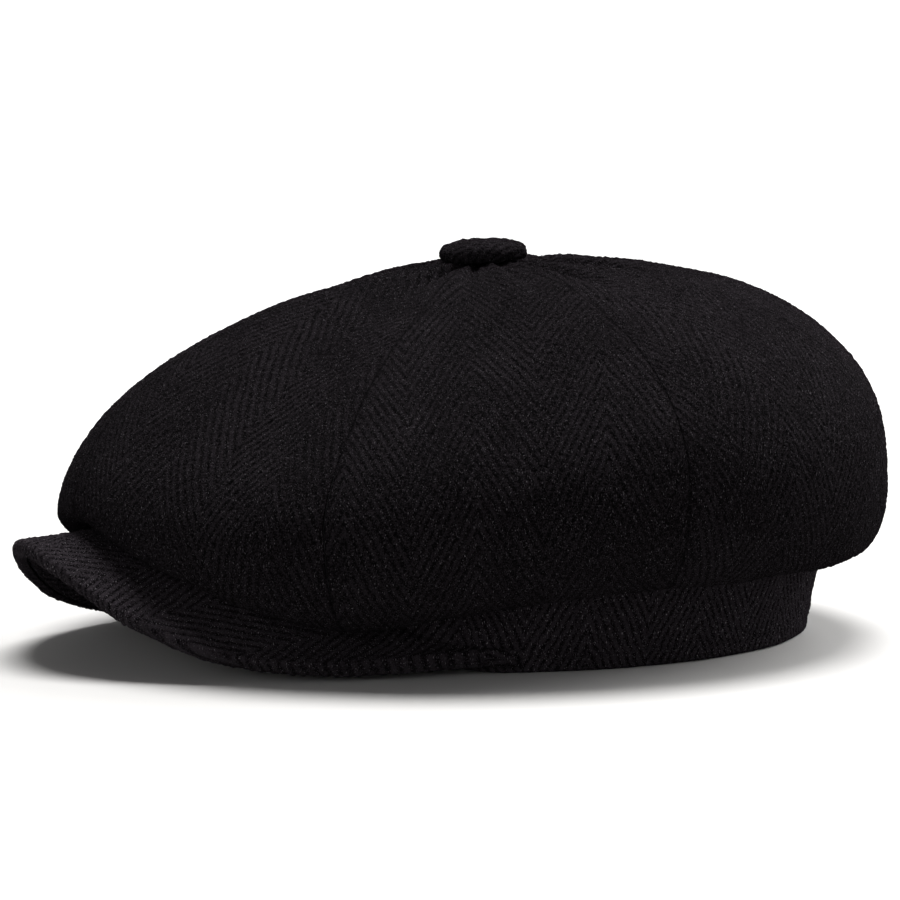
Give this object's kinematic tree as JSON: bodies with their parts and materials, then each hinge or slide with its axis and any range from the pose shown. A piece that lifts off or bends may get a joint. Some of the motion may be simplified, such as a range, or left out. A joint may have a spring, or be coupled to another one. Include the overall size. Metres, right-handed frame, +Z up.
{
  "type": "newsboy cap",
  "caption": "Full soft cap of wedge panels gathered to a covered button, with a band and a short stiff arched visor on a sprung seam.",
  "frame": {"origin": "middle of the head opening, in the plane the cap rests on", "axes": "+Z up through the crown, the visor points to -Y, +X is the wearer's left"},
  "size_m": [0.242, 0.2897, 0.1282],
  "materials": {
    "wool": "brushed herringbone wool",
    "lining": "satin",
    "interlining": "stiff bonded",
    "sweatband": "ribbed cotton",
    "button_metal": "pressed",
    "button_plate": "moulded",
    "loop_wire": "drawn",
    "board": "sheet"
  },
  "bodies": {
    "cap": {"crown_gore_front_left": "wool", "crown_gore_front_side_left": "wool", "crown_gore_back_side_left": "wool", "crown_gore_back_left": "wool", "crown_gore_front_right": "wool", "crown_gore_front_side_right": "wool", "crown_gore_back_side_right": "wool", "crown_gore_back_right": "wool", "lining_gore_front_left": "lining", "lining_gore_front_side_left": "lining", "lining_gore_back_side_left": "lining", "lining_gore_back_left": "lining", "lining_gore_front_right": "lining", "lining_gore_front_side_right": "lining", "lining_gore_back_side_right": "lining", "lining_gore_back_right": "lining", "band_cloth": "wool", "band_stiffener": "interlining", "sweatband": "sweatband", "button_cover": "wool", "button_shell": "button_metal", "button_back": "button_plate", "button_loop": "loop_wire"},
    "visor": {"visor_board": "board", "visor_top_cloth": "wool", "visor_under_cloth": "wool"}
  },
  "joints": [
    {"name": "visor_flex", "type": "hinge", "parent": "cap", "child": "visor", "pos_m": [0, -0.06, 0.02], "axis": [1, 0, 0], "range_deg": [-0.8, 2.5], "stiffness_Nm_per_rad": 3}
  ]
}
